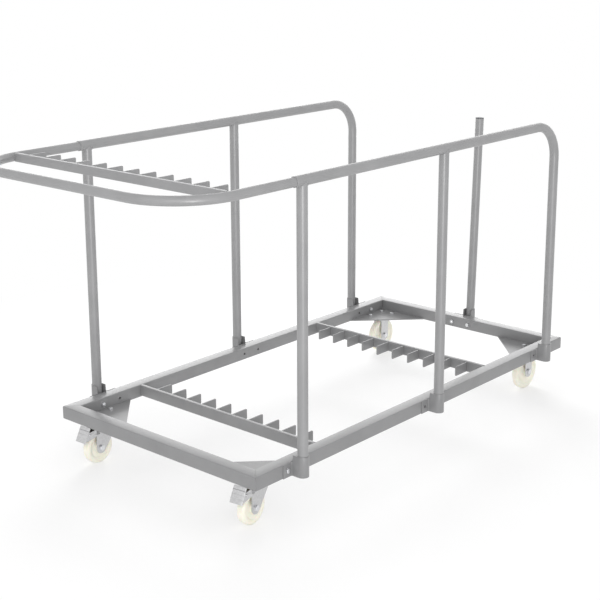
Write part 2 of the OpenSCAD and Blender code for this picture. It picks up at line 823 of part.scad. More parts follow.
module brake_pedal(i) {
    color(zinc) difference() {
        union() {
            at_pedal(i) translate([0, 0, -pedal_barrel_width / 2])
                cylinder(r = pedal_barrel_radius, h = pedal_barrel_width);
            at_pedal(i) rotate(180 + pedal_slope) {
                translate([-pedal_neck_height / 2, pedal_thickness / 2 - pedal_face, -pedal_neck_width / 2])
                    cube([pedal_neck_height, pedal_face - pedal_thickness / 2, pedal_neck_width]);
                translate([-pedal_rise, -pedal_face, -pedal_half])
                    cube([pedal_length, pedal_thickness, 2 * pedal_half]);
                for (z = [pedal_wall_inner, -pedal_wall_inner - pedal_wall])
                    translate([0, 0, z]) linear_extrude(pedal_wall) pedal_wall_profile();
                for (k = [1:pedal_rib_count])
                    translate([k * pedal_length / (pedal_rib_count + 1) - pedal_rise,
                        pedal_rib_sink_share * pedal_rib - pedal_face, pedal_rib - pedal_half])
                        cylinder(r = pedal_rib, h = 2 * (pedal_half - pedal_rib));
            }
            at_axle(i) rotate(180 - shoe_angle)
                translate([shoe_radius - shoe_depth / 2, -shoe_length / 2, -shoe_width / 2])
                    cube([shoe_depth, shoe_length, shoe_width]);
        }
        at_pedal(i) translate([0, 0, -pedal_half])
            cylinder(d = pedal_pin_diameter + 2 * running_clearance, h = 2 * pedal_half);
    }
}

module pedal_pin(i) {
    length = 2 * (pedal_half + pedal_pin_end);
    color(zinc) at_pedal(i) translate([0, 0, -length / 2])
        cylinder(d = pedal_pin_diameter, h = length);
}

front_rail();
rear_rail();
rear_socket();
socket_bolts();
socket_nuts();
for (i = [0, 1]) {
    side_rail(i);
    side_sockets(i);
    top_rail(i);
    straight_post(i, post_xs[0]);
    straight_post(i, post_xs[1]);
}
front_comb_bar();
front_comb_teeth();
rear_comb_bar();
rear_comb_teeth();
front_hoop();
upper_comb_bar();
upper_comb_teeth();
rear_post();
rear_post_cap();
caster_bolts();
caster_nuts();
kingpins();
swivel_balls();
for (i = [0:3]) {
    corner_plate(i);
    top_plate(i);
    fork(i);
    axle_bolt(i);
    axle_nut(i);
    axle_bush(i);
    wheel(i);
}
for (i = [0, 1]) {
    brake_pedal(i);
    pedal_pin(i);
}
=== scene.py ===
# %% [markdown]
# # A banquet table trolley
# The real trolley is a low base of square steel tube on four casters, with round-tube side frames in
# sockets, a hoop plugged into their front ends and three toothed combs that keep tables apart.
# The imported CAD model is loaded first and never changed: every piece made below sits where the CAD
# says and rides on one of its bodies, so the casters, pedals, hoop and loose post still move.

# %% Load the frame
import math
import bmesh
import bpy
import numpy as np
from mathutils import Matrix, Vector


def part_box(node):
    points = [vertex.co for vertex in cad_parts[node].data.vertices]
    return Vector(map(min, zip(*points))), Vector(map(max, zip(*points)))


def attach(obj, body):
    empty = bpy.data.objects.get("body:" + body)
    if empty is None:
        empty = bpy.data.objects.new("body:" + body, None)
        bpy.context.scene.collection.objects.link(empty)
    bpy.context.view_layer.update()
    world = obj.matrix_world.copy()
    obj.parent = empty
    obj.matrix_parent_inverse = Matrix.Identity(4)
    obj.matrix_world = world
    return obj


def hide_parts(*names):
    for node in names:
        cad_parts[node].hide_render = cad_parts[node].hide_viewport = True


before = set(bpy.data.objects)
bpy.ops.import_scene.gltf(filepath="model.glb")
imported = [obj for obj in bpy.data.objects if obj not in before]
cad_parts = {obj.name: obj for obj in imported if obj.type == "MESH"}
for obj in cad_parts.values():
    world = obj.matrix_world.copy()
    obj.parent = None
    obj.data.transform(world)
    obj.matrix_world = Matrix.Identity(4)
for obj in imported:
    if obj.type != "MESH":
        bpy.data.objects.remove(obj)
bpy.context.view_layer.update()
x_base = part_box("front_rail")[0][0] * 1000

# %% [markdown]
# ## Camera
# The photograph was taken from the front left, a little above the top rails, with a fairly long lens.
# Blender's camera could be turned by hand until it looks right, but the corners of the base give enough
# points to work the camera out, so its direction, distance and focal length are written as numbers.

# %% Camera at the photograph's viewing angle
def to_metres(points):
    """Millimetres from the base's front face, its middle and the floor, to metres in the frame."""
    return (np.asarray(points, float) + [x_base, 0, 0]) * 0.001


azimuth, elevation, roll = np.radians([-48.72, 13.74, -0.21])
looked_at, distance = np.array([590.54, -39.64, 652.88]), 3928.93
focal_pixels, picture_pixels = 1286.88, 600
back = np.array([math.sin(azimuth) * math.cos(elevation), -math.cos(azimuth) * math.cos(elevation),
                 math.sin(elevation)])
level = np.cross(-back, [0, 0, 1])
level /= np.linalg.norm(level)
upright = np.cross(level, -back)
right = level * math.cos(roll) + upright * math.sin(roll)
up = upright * math.cos(roll) - level * math.sin(roll)
eye = to_metres(looked_at + distance * back)
lens = bpy.data.cameras.new("photo_camera")
lens.sensor_width = 36
lens.lens = focal_pixels / picture_pixels * lens.sensor_width
lens.shift_y = -0.1
camera = bpy.data.objects.new("photo_camera", lens)
bpy.context.scene.collection.objects.link(camera)
camera.matrix_world = Matrix([[*row] for row in np.r_[np.c_[right, up, back, eye], [[0, 0, 0, 1]]]])
bpy.context.scene.camera = camera
print("camera at", np.round(eye, 3), "lens", round(lens.lens, 1), "mm")

# %% [markdown]
# ## Finishes
# Four materials make the whole trolley: grey powder coat on the welded frame, zinc plate on the casters
# and bolts, natural nylon in the wheels and soft dark plastic in the post's cap. Colours are written as
# sRGB hex values, as a paint card gives them, and turned to the linear numbers Blender wants. The sizes
# of patterns are in metres, so each noise node's scale is one over the size of its blobs.

# %% Helpers for materials
def colour(hex_code):
    """sRGB hex to linear red, green, blue and alpha."""
    s = np.array([int(hex_code[i:i + 2], 16) for i in (1, 3, 5)]) / 255
    return (*np.where(s <= 0.04045, s / 12.92, ((s + 0.055) / 1.055) ** 2.4), 1.0)


def add(tree, kind, inputs, **settings):
    """Adds a node: each input is a value, or an output socket to link from."""
    node = tree.nodes.new(kind)
    for name, value in settings.items():
        setattr(node, name, value)
    for name, value in inputs.items():
        if isinstance(value, bpy.types.NodeSocket):
            tree.links.new(value, node.inputs[name])
        else:
            node.inputs[name].default_value = value
    return node


def new_finish(name):
    """An empty node material and its Object coordinates."""
    material = bpy.data.materials.new(name)
    material.use_nodes = True
    material.node_tree.nodes.clear()
    return material, material.node_tree, add(material.node_tree, "ShaderNodeTexCoord", {}).outputs["Object"]


def noise(tree, place, size, detail):
    """A cloudy pattern from 0 to 1 with blobs of about the given size."""
    return add(tree, "ShaderNodeTexNoise",
               {"Vector": place, "Scale": 1 / size, "Detail": detail}).outputs["Fac"]


def spread(tree, pattern, low, high):
    """A pattern from 0 to 1, turned into a value between two limits."""
    return add(tree, "ShaderNodeMapRange",
               {"Value": pattern, "To Min": low, "To Max": high}).outputs["Result"]


def relief(tree, pattern, strength, depth):
    """The surface's normal, bumped by a pattern of the given depth."""
    return add(tree, "ShaderNodeBump",
               {"Height": pattern, "Strength": strength, "Distance": depth}).outputs["Normal"]


def two_tones(tree, pattern, first, second, low=0.35, high=0.65):
    """A ramp between two colours over part of a pattern's range."""
    ramp = add(tree, "ShaderNodeValToRGB", {"Fac": pattern})
    for stop, place, code in zip(ramp.color_ramp.elements, (low, high), (first, second)):
        stop.position, stop.color = place, colour(code)
    return ramp.outputs["Color"]


def put_out(tree, shader):
    """Links a shader to the material's output."""
    add(tree, "ShaderNodeOutputMaterial", {"Surface": shader.outputs[0]})


# %% [markdown]
# Powder coat is melted plastic dust: it flows almost flat but keeps a faint orange peel, about 2 mm
# across. That is finer than a pixel here, so it is drawn at 5 mm to show at all. A slow cloud of slightly
# lighter grey stands for dust and handling, and the same cloud makes the coat a little duller.
# The tubes take a second copy of the coat, a shade lighter and a little duller. Its lighter grey is a painted
# sheen that stands for the brighter reflections a curved tube shows in the white room.

# %% Powder-coated steel
def powder_coated(name, dark, light, satin):
    """Grey powder coat: colour and dullness follow one slow cloud, the bump is the orange peel."""
    material, tree, place = new_finish(name)
    cloud = noise(tree, place, 0.09, 4.0)
    peel = noise(tree, place, 0.005, 1.0)
    put_out(tree, add(tree, "ShaderNodeBsdfPrincipled", {
        "Base Color": two_tones(tree, cloud, dark, light), "IOR": 1.5,
        "Roughness": spread(tree, cloud, satin, satin + 0.1), "Normal": relief(tree, peel, 0.12, 0.0004)}))
    return material


powder_coat = powder_coated("powder_coated_steel", "#878788", "#8d8d8e", 0.26)
# the tube coat's lighter grey is painted sheen, standing in for reflections on the curved tubes
tube_coat_with_painted_sheen = powder_coated("powder_coated_steel_tube_painted_sheen", "#939394", "#99999a", 0.33)

# %% [markdown]
# Zinc plate is a thin bright metal skin. It is bluish where it is fresh and greyer where it has been
# handled, with a soft mottle of a few millimetres, so the colour and the roughness share one pattern.
# The casters' pressings have gone duller than the bolts.

# %% Bright and dulled zinc plate
def zinc_plated(name, dark, light):
    """Zinc on steel: colour and roughness follow one mottle, the bump is the fine grain."""
    material, tree, place = new_finish(name)
    mottle = noise(tree, place, 0.006, 3.0)
    grain = noise(tree, place, 0.0012, 2.0)
    put_out(tree, add(tree, "ShaderNodeBsdfPrincipled", {
        "Base Color": two_tones(tree, mottle, dark, light), "Metallic": 1.0,
        "Roughness": spread(tree, mottle, 0.3, 0.44), "Normal": relief(tree, grain, 0.15, 0.0002)}))
    return material


zinc_plate = zinc_plated("bright_zinc_plate", "#d6d7da", "#e2e3e4")
dull_zinc = zinc_plated("dulled_zinc_plate", "#c3c3c4", "#cfcfd0")

# %% [markdown]
# Natural nylon is ivory and slightly waxy. Moulding leaves it almost even, with faint flow clouds and a
# fine matt skin; a little light goes into it, which a small subsurface weight gives. The post's cap is
# a dark polyethylene, moulded the same way but with nothing shining through.

# %% Natural moulded nylon
nylon, tree, place = new_finish("natural_moulded_nylon")
flow = noise(tree, place, 0.03, 3.0)
fine = noise(tree, place, 0.0015, 1.0)
put_out(tree, add(tree, "ShaderNodeBsdfPrincipled", {
    "Base Color": two_tones(tree, flow, "#f5f1e0", "#f9f6e9"), "Roughness": 0.42, "IOR": 1.53,
    "Subsurface Weight": 0.12, "Subsurface Scale": 0.004, "Normal": relief(tree, fine, 0.1, 0.0002)}))

# %% Moulded polyethylene of the cap
polyethylene, tree, place = new_finish("moulded_polyethylene")
flow = noise(tree, place, 0.004, 2.0)
put_out(tree, add(tree, "ShaderNodeBsdfPrincipled", {
    "Base Color": two_tones(tree, flow, "#57585b", "#616265"), "Roughness": 0.5, "IOR": 1.51,
    "Normal": relief(tree, flow, 0.1, 0.0002)}))
print("finishes", [m.name for m in bpy.data.materials if m.node_tree])

# %% [markdown]
# ## Surfaces from arrays
# Almost every part of the trolley is a profile carried along a path: a circle along a bent tube, a
# rounded square along a rail, a hexagon up a nut. Curves with a bevel could draw some of these, but rings
# of points in one numpy array make them all, and a skin of quads joins ring to ring. A shape here is
# three things: its points in millimetres, its quads and its end caps.

# %% Helpers for shapes and pieces
def grid_faces(rows, columns, loop):
    """Quads between neighbours of a grid stored row by row; columns always close, rows close if loop."""
    i = np.arange(rows if loop else rows - 1)[:, None]
    j = np.arange(columns)[None, :]
    k, n = (i + 1) % rows, (j + 1) % columns
    return np.stack([i * columns + j, i * columns + n, k * columns + n, k * columns + j], -1).reshape(-1, 4)


def skin(rings, loop=False):
    """Surface over rings (rows, points, 3); the end rings are capped unless the rows form a loop."""
    rows, columns = rings.shape[:2]
    first = np.arange(columns)
    caps = [] if loop else [first[::-1], first + (rows - 1) * columns]
    return rings.reshape(-1, 3), grid_faces(rows, columns, loop), caps


def together(*shapes):
    """Several shapes as one: their points, quads and caps, counted on from one another."""
    points, quads, caps = zip(*shapes)
    starts = np.cumsum([0] + [len(p) for p in points])
    all_quads = np.concatenate([q + s for q, s in zip(quads, starts)])
    all_caps = [cap + s for group, s in zip(caps, starts) for cap in group]
    return np.concatenate(points), all_quads, all_caps


def copies(shape, turns, shifts):
    """The shape once for each turn (k, 3, 3) and shift (k, 3): turn times point, plus shift."""
    points, quads, caps = shape
    moved = np.einsum("kij,nj->kni", turns, points) + np.asarray(shifts, float)[:, None]
    return together(*[(p, quads, caps) for p in moved])


def on_edge(shape):
    """The shape with its y and z exchanged, so that a flat plate stands on its edge."""
    points, quads, caps = shape
    return points[:, [0, 2, 1]], quads, caps


def new_mesh(name, shape):
    """A Blender mesh from a shape in base millimetres."""
    points, quads, caps = shape
    mesh = bpy.data.meshes.new(name)
    mesh.from_pydata(to_metres(points).tolist(), [], quads.tolist() + [cap.tolist() for cap in caps])
    return mesh


crisp_angle = 32


def make_piece(name, shape, finish, slot, body, *nodes, sharp=crisp_angle):
    """A mesh object that rides on a body and stands for CAD nodes; edges over the angle stay crisp."""
    mesh = new_mesh(name, shape)
    whole = bmesh.new()
    whole.from_mesh(mesh)
    bmesh.ops.recalc_face_normals(whole, faces=whole.faces)
    whole.to_mesh(mesh)
    whole.free()
    mesh.shade_smooth()
    mesh.set_sharp_from_angle(angle=math.radians(sharp))
    mesh.materials.append(finish)
    piece = bpy.data.objects.new(name, mesh)
    bpy.context.scene.collection.objects.link(piece)
    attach(piece, body)
    if nodes:
        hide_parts(*nodes)
    print(name, len(mesh.vertices), "points")


# %% Helpers for tubes, plates and turned parts
turn = np.linspace(0, 2 * np.pi, 48, endpoint=False)
unturned = np.eye(3)


def tube(path, tangents, normal, outer, inner, bevel=0.4):
    """Wall of a round tube: p(s) + r (cos t N + sin t T x N), out along the outside, back in the bore."""
    stations = np.r_[path[:1], path[:1] + bevel * tangents[:1], path[1:-1],
                     path[-1:] - bevel * tangents[-1:], path[-1:]]
    along = np.r_[tangents[:1], tangents, tangents[-1:]]
    radii = np.r_[outer - bevel, np.full(len(path), outer), outer - bevel]
    stations, along = np.r_[stations, stations[::-1]], np.r_[along, along[::-1]]
    radii = np.r_[radii, np.full(len(radii), inner)][:, None, None]
    side = np.broadcast_to(np.asarray(normal, float), along.shape)
    ring = np.cos(turn)[:, None] * side[:, None] + np.sin(turn)[:, None] * np.cross(along, side)[:, None]
    return skin(stations[:, None] + radii * ring, loop=True)


def straight_tube(start, end, outer, inner):
    """A tube along z, from one height to another."""
    path = np.array([[0, 0, start], [0, 0, (start + end) / 2], [0, 0, end]], float)
    return tube(path, np.repeat([[0, 0, 1.0]], 3, 0), [1, 0, 0], outer, inner)


def quarter_bend(centre, start, end, radius, steps=25):
    """Quarter circle c + R (cos a S + sin a E) and its tangent -sin a S + cos a E."""
    a = np.linspace(0, np.pi / 2, steps)[:, None]
    s, e = np.asarray(start, float), np.asarray(end, float)
    points = np.asarray(centre, float) + radius * (np.cos(a) * s + np.sin(a) * e)
    return points, np.cos(a) * e - np.sin(a) * s


def rounded_rectangle(width, height, radius, steps=6):
    """Corner arcs of a rectangle with its lowest corner at zero, as (points, 2)."""
    a = np.linspace(0, np.pi / 2, steps)
    quarters = np.arange(4)[:, None] * np.pi / 2 + a + np.pi
    centres = np.array([[radius, radius], [width - radius, radius],
                        [width - radius, height - radius], [radius, height - radius]])
    return (centres[:, None] + radius * np.stack([np.cos(quarters), np.sin(quarters)], -1)).reshape(-1, 2)


def inset(outline, amount):
    """Moves an outline (points, 2), given anticlockwise, inwards along its averaged normals."""
    step = np.roll(outline, -1, 0) - np.roll(outline, 1, 0)
    step /= np.linalg.norm(step, axis=1, keepdims=True)
    return outline + amount * np.c_[-step[:, 1], step[:, 0]]


def plate(outline, low, high, bevel=0.6):
    """A flat plate over an outline, from low to high along z, with its edges broken by a bevel."""
    small = inset(outline, bevel)
    levels = [(small, low), (outline, low + bevel), (outline, high - bevel), (small, high)]
    return skin(np.stack([np.c_[o, np.full(len(o), z)] for o, z in levels]))


def lathe(profile, sides=72, loop=True):
    """A profile of (radius, height) turned about z: (r cos t, r sin t, h); an open one gets end caps."""
    t = np.linspace(0, 2 * np.pi, sides, endpoint=False)
    r, h = np.asarray(profile, float).T
    rings = np.stack([np.outer(r, np.cos(t)), np.outer(r, np.sin(t)), np.repeat(h[:, None], sides, 1)], -1)
    return skin(rings, loop)


# %% [markdown]
# ## Base rails
# The base is four lengths of 40 mm square tube, cut at 45 degrees and welded. A cube with a bevel would
# lose the mitre, so the rounded square is carried from mitre to mitre: each point of the profile starts
# and ends as far along as it lies in from the outer face. The last 0.8 mm shrinks, which leaves the fine
# groove that shows where two painted rails meet.

# %% Four mitred rails
length, width, rail, rail_low = 1570, 800, 40, 136
rail_rounding, groove, groove_depth = 3.0, 0.8, 0.7
section = rounded_rectangle(rail, rail, rail_rounding)
ground = inset(section, groove_depth)


def mitred_rail(run):
    """Rings (in from the face, along, up): the profile starts at s = u and ends at s = run - u."""
    u, v = section.T
    gu, gv = ground.T
    return np.stack([np.c_[gu, gu, gv], np.c_[u, u + groove, v],
                     np.c_[u, run - u - groove, v], np.c_[gu, run - gu, gv]])


side_run, cross_run = mitred_rail(length), mitred_rail(width)
rail_rings = {
    "left_rail": side_run[..., [1, 0, 2]] + [0, -width / 2, rail_low],
    "right_rail": side_run[..., [1, 0, 2]] * [1, -1, 1] + [0, width / 2, rail_low],
    "front_rail": cross_run + [0, -width / 2, rail_low],
    "rear_rail": cross_run * [-1, 1, 1] + [length, -width / 2, rail_low]}
for node, rings in rail_rings.items():
    make_piece(node + "_tube", skin(rings), powder_coat, "frame_paint", "frame", node)

# %% [markdown]
# ## Corner plates
# A triangle of 4 mm sheet fills each corner, flush with the bottom of the rails, and carries a caster.
# One outline is mirrored into the four corners; every second mirror image runs the wrong way round, so its
# points are put in reverse order before the bevel is taken off inwards.

# %% Four corner plates
gusset_leg, gusset_thick = 195, 4.0
corners = {"front_left": (1, -1), "front_right": (1, 1), "rear_left": (-1, -1), "rear_right": (-1, 1)}
for name, (sx, sy) in corners.items():
    x, y = (rail if sx > 0 else length - rail), sy * (width / 2 - rail)
    triangle = np.array([[x, y], [x + sx * gusset_leg, y], [x, y - sy * gusset_leg]], float)
    if sx * sy > 0:
        triangle = triangle[::-1]
    make_piece(name + "_gusset", plate(triangle, rail_low, rail_low + gusset_thick), powder_coat,
               "frame_paint", "frame", name + "_corner_plate")

# %% [markdown]
# ## Side frames
# Each side is a 30 mm tube that runs back along the top and bends down into its rear post, with two more
# posts welded underneath. The bend is a quarter circle between two straights. A welded post is cut to a
# saddle, so its top ring drops by R minus the root of R squared less the sideways distance squared.

# %% Bent top rails
post_x, post_y, foot_z = [158, 789, 1420], 427, 138
top_z, tube_r, bore_r, tube_bevel = 952, 15.0, 13.08, 0.4
rail_front, rail_bend = 126, 110
sides = (("left", -post_y), ("right", post_y))
for name, y in sides:
    bend_centre = [post_x[2] - rail_bend, y, top_z - rail_bend]
    arc, arc_way = quarter_bend(bend_centre, [0, 0, 1], [1, 0, 0], rail_bend)
    path = np.r_[[[rail_front, y, top_z]], arc, [[post_x[2], y, foot_z]]]
    way = np.r_[[[1, 0, 0]], arc_way, [[0, 0, -1]]]
    make_piece(name + "_bent_rail", tube(path, way, [0, 1, 0], tube_r, bore_r, tube_bevel), tube_coat_with_painted_sheen,
               "frame_paint", "frame", name + "_top_rail")


# %% Posts with saddle tops
def saddle_post(x, y):
    """Upright tube whose rings are (r cos t, r sin t, z), with top z = H - sqrt(R^2 - (r sin t)^2)."""
    def ring(r, z):
        """Circle about the post's axis, at one height or at a height for each point."""
        return np.c_[x + r * np.cos(turn), y + r * np.sin(turn), np.broadcast_to(z, turn.shape)]

    def saddle_z(r):
        """Height of the rail's underside above each point of a circle."""
        return top_z - np.sqrt(tube_r ** 2 - (r * np.sin(turn)) ** 2)

    just_inside = tube_r * 0.999
    return skin(np.stack([ring(tube_r - tube_bevel, foot_z), ring(tube_r, foot_z + tube_bevel),
                          ring(tube_r, saddle_z(just_inside)), ring(bore_r, saddle_z(bore_r)),
                          ring(bore_r, foot_z)]), loop=True)


for name, y in sides:
    for place_name, x in (("front", post_x[0]), ("middle", post_x[1])):
        make_piece(f"{name}_{place_name}_upright", saddle_post(x, y), tube_coat_with_painted_sheen, "frame_paint", "frame",
                   f"{name}_{place_name}_post")

# %% [markdown]
# ## Weld beads
# Where a post meets the top rail the welder leaves a small rippled bead, painted over with the rest. A
# bead is a thin round profile carried along the joint, with a radius that swells every few millimetres.

# %% Post welds
bead_r, bead_ripple, bead_swell = 1.7, 3.2, 0.14


def closed_bead(path):
    """Round bead along a closed path: radius r (1 + swell cos(2 pi s / ripple)) at the length s."""
    step = np.roll(path, -1, 0) - np.roll(path, 1, 0)
    way = step / np.linalg.norm(step, axis=1, keepdims=True)
    s = np.r_[0, np.cumsum(np.linalg.norm(np.diff(path, axis=0), axis=1))]
    r = bead_r * (1 + bead_swell * np.cos(2 * np.pi * s / bead_ripple))
    side = np.cross(way, np.where(np.abs(way[:, 2:]) < 0.9, [[0, 0, 1.0]], [[1.0, 0, 0]]))
    side /= np.linalg.norm(side, axis=1, keepdims=True)
    t = np.linspace(0, 2 * np.pi, 10, endpoint=False)
    ring = np.cos(t)[:, None] * side[:, None] + np.sin(t)[:, None] * np.cross(way, side)[:, None]
    return skin(path[:, None] + r[:, None, None] * ring, loop=True)


bead_out, bead_in, bead_drop = 0.4, 0.2, 0.3
around = np.linspace(0, 2 * np.pi, 96, endpoint=False)
beside = (tube_r - bead_in) * np.sin(around)
saddle = np.c_[(tube_r + bead_out) * np.cos(around), beside, -np.sqrt(tube_r ** 2 - beside ** 2) - bead_drop]
for name, y in sides:
    make_piece(name + "_post_welds", together(*[closed_bead(saddle + [x, y, top_z]) for x in post_x[:2]]),
               tube_coat_with_painted_sheen, "frame_paint", "frame")

# %% [markdown]
# ## Front hoop
# The hoop is a thinner 26 mm tube, so a small step shows where each leg slides into the open end of a
# top rail. It is one path: leg, bend, cross tube, bend, leg.

# %% Hoop
reach, hoop_bend, hoop_r, hoop_wall, leg_end = -276, 186, 13.0, 1.5, 246
bend_x, bend_y, bend_steps = reach + hoop_bend, post_y - hoop_bend, 49
left_arc, left_way = quarter_bend([bend_x, -bend_y, top_z], [0, -1, 0], [-1, 0, 0], hoop_bend, bend_steps)
right_arc, right_way = quarter_bend([bend_x, bend_y, top_z], [-1, 0, 0], [0, 1, 0], hoop_bend, bend_steps)
path = np.r_[[[leg_end, -post_y, top_z]], left_arc, right_arc, [[leg_end, post_y, top_z]]]
way = np.r_[[[-1, 0, 0]], left_way, right_way, [[1, 0, 0]]]
make_piece("hoop_tube", tube(path, way, [0, 0, 1], hoop_r, hoop_r - hoop_wall), tube_coat_with_painted_sheen, "frame_paint",
           "hoop", "front_hoop")

# %% [markdown]
# ## Combs
# Each comb is a flat rectangular bar with a row of tooth plates welded to it, one table between each two.
# A tooth is an outline with rounded tip corners, given its thickness and a small bevel so that its edge
# catches the light. The upper comb takes the tubes' lighter coat, whose lighter grey is painted light.

# %% Comb bars
bar_deep, lower_tall, upper_tall, bar_rounding = 12, 35, 25, 2.0
front_x, rear_x, upper_x = 277, 1136, -112
lower_z, upper_z = 141, top_z - upper_tall / 2
lower_half, upper_half = 360, 416
lower_section = rounded_rectangle(bar_deep, lower_tall, bar_rounding)
upper_section = rounded_rectangle(bar_deep, upper_tall, bar_rounding)


def bar(outline, x, z, half):
    """The section (x, z) carried along y between the two ends."""
    across, high = (outline + [x, z]).T
    return skin(np.stack([np.c_[across, np.full(len(outline), y), high] for y in (-half, half)]))


make_piece("front_bar", bar(lower_section, front_x, lower_z, lower_half), powder_coat, "frame_paint",
           "frame", "front_comb_bar")
make_piece("rear_bar", bar(lower_section, rear_x, lower_z, lower_half), powder_coat, "frame_paint",
           "frame", "rear_comb_bar")
# the upper comb takes the tubes' lighter grey, which is painted light
make_piece("upper_bar", bar(upper_section, upper_x, upper_z, upper_half), tube_coat_with_painted_sheen, "frame_paint",
           "hoop", "upper_comb_bar")

# %% Comb teeth
tooth_thick, tooth_pitch, tip_r, tooth_bevel = 4.0, 65.5, 4.0, 0.5


def tooth(tooth_length, height):
    """Outline (x, z) of one tooth: square at its root, quarter circles at its tip corners."""
    a = np.linspace(0, np.pi / 2, 8)
    low = np.c_[tooth_length - tip_r + tip_r * np.sin(a), tip_r - tip_r * np.cos(a)]
    high = np.c_[tooth_length - tip_r + tip_r * np.cos(a), height - tip_r + tip_r * np.sin(a)]
    outline = np.r_[[[0, 0]], low, high, [[0, height]]]
    return on_edge(plate(outline, -tooth_thick / 2, tooth_thick / 2, tooth_bevel))


def row_of_teeth(count, x, z, direction, shape):
    """The tooth at every pitch along y, turned to face the rear (1) or the front (-1)."""
    y = (np.arange(count) - (count - 1) / 2) * tooth_pitch
    shifts = np.c_[np.full(count, x), y, np.full(count, z)]
    return copies(shape, np.repeat(np.diag([direction, direction, 1.0])[None], count, 0), shifts)


lower_tooth, upper_tooth, lower_tooth_z = tooth(63, 32), tooth(56, upper_tall), lower_z + 1
make_piece("front_teeth", row_of_teeth(10, front_x + bar_deep, lower_tooth_z, 1, lower_tooth), powder_coat,
           "frame_paint", "frame", "front_comb_teeth")
make_piece("rear_teeth", row_of_teeth(10, rear_x, lower_tooth_z, -1, lower_tooth), powder_coat,
           "frame_paint", "frame", "rear_comb_teeth")
make_piece("upper_teeth", row_of_teeth(12, upper_x + bar_deep, upper_z, 1, upper_tooth), tube_coat_with_painted_sheen,
           "frame_paint", "hoop", "upper_comb_teeth")

# %% [markdown]
# ## Sockets
# Each post stands in a bracket bent from 2 mm strip: a flange, a wall out from the rail, a half circle
# round the post, and back. The strip's own section, a rounded rectangle, is carried along that line in
# plan; it is taller round the post than on the flanges.

# %% Socket brackets
strip_thick, strip_drawn, flange_end, u_mid, corner_r = 2.0, 1.9, 51.35, 16.35, 4.0
post_out, flange_tall, socket_tall = post_y - width / 2, 40.0, 60.0


def strip_line():
    """Mid-line of the bent strip in plan (along the rail, out from it), its left normal and its height."""
    a = np.linspace(0, np.pi / 2, 9)
    foot = strip_thick / 2
    flange = np.c_[np.linspace(-flange_end, -u_mid - corner_r, 6), np.full(6, foot)]
    corner = np.c_[-u_mid - corner_r + corner_r * np.sin(a), foot + corner_r - corner_r * np.cos(a)]
    wall = np.c_[np.full(4, -u_mid), np.linspace(foot + corner_r + 1.5, post_out, 4)]
    b = np.linspace(np.pi, np.pi / 2, 17)
    half = np.r_[flange[:-1], corner, wall, np.c_[u_mid * np.cos(b), post_out + u_mid * np.sin(b)][1:]]
    line = np.r_[half, (half * [-1, 1])[-2::-1]]
    way = np.gradient(line, axis=0)
    way /= np.linalg.norm(way, axis=1, keepdims=True)
    count = len(flange) - 1 + len(corner)
    tall = np.r_[np.full(count, flange_tall), np.full(len(half) - count, socket_tall)]
    return line, np.c_[-way[:, 1], way[:, 0]], np.r_[tall, tall[-2::-1]]


def socket_bracket():
    """Strip section (across, up) swept along the line: line + across times normal, with up to its height."""
    line, normal, tall = strip_line()
    short = 10.0
    rim = rounded_rectangle(strip_drawn, short, 0.5, 4) - [strip_drawn / 2, 0]
    up_share = (rim[:, 1] > short / 2).astype(float)
    across = line[:, None] + rim[None, :, :1] * normal[:, None]
    height = rim[None, :, 1] + up_share[None] * (tall[:, None] - short)
    strip = skin(np.concatenate([across, height[..., None]], -1))
    b = np.linspace(0, np.pi, 25)
    inside = u_mid - strip_drawn / 2
    floor = np.r_[[[-inside, 0.1], [inside, 0.1]], np.c_[inside * np.cos(b), post_out + inside * np.sin(b)]]
    return together(strip, plate(floor, 0.0, strip_thick, 0.4))


bracket = socket_bracket()
# columns: direction along the rail, direction out from the rail, up
left_turn, right_turn = np.diag([1.0, -1.0, 1.0]), unturned
rear_turn = np.array([[0, 1.0, 0], [1.0, 0, 0], [0, 0, 1.0]])
make_piece("left_brackets", copies(bracket, [left_turn] * 3, [[x, -width / 2, rail_low] for x in post_x]),
           powder_coat, "frame_paint", "frame", "left_sockets")
make_piece("right_brackets", copies(bracket, [right_turn] * 3, [[x, width / 2, rail_low] for x in post_x]),
           powder_coat, "frame_paint", "frame", "right_sockets")
make_piece("rear_bracket", copies(bracket, [rear_turn], [[length, 0, rail_low]]), powder_coat,
           "frame_paint", "frame", "rear_socket")

# %% [markdown]
# ## Empty bolt holes
# Each socket has a hole in both flanges and through the rail, but only the flanges nearest the corners
# and the rear ones are bolted. The other holes stay open and show as dark dots. Holes could be left out of
# each surface as it is made; it is simpler to drill them with a Boolean, as a workshop would.

# %% Drilled rails and brackets
def drill(piece, cutter_shape):
    """Takes a closed shape out of a finished piece with an exact Boolean, applied at once."""
    mesh = new_mesh("cutter", cutter_shape)
    cutter = bpy.data.objects.new("cutter", mesh)
    bpy.context.scene.collection.objects.link(cutter)
    cut = piece.modifiers.new("drill", "BOOLEAN")
    cut.object, cut.solver, cut.use_self = cutter, "EXACT", True
    drilled = bpy.data.meshes.new_from_object(piece.evaluated_get(bpy.context.evaluated_depsgraph_get()))
    piece.modifiers.clear()
    piece.data, solid = drilled, piece.data
    drilled.name = piece.name
    drilled.set_sharp_from_angle(angle=math.radians(crisp_angle))
    bpy.data.objects.remove(cutter)
    for used in (mesh, solid):
        bpy.data.meshes.remove(used)
    print(piece.name, "drilled,", len(drilled.vertices), "points")


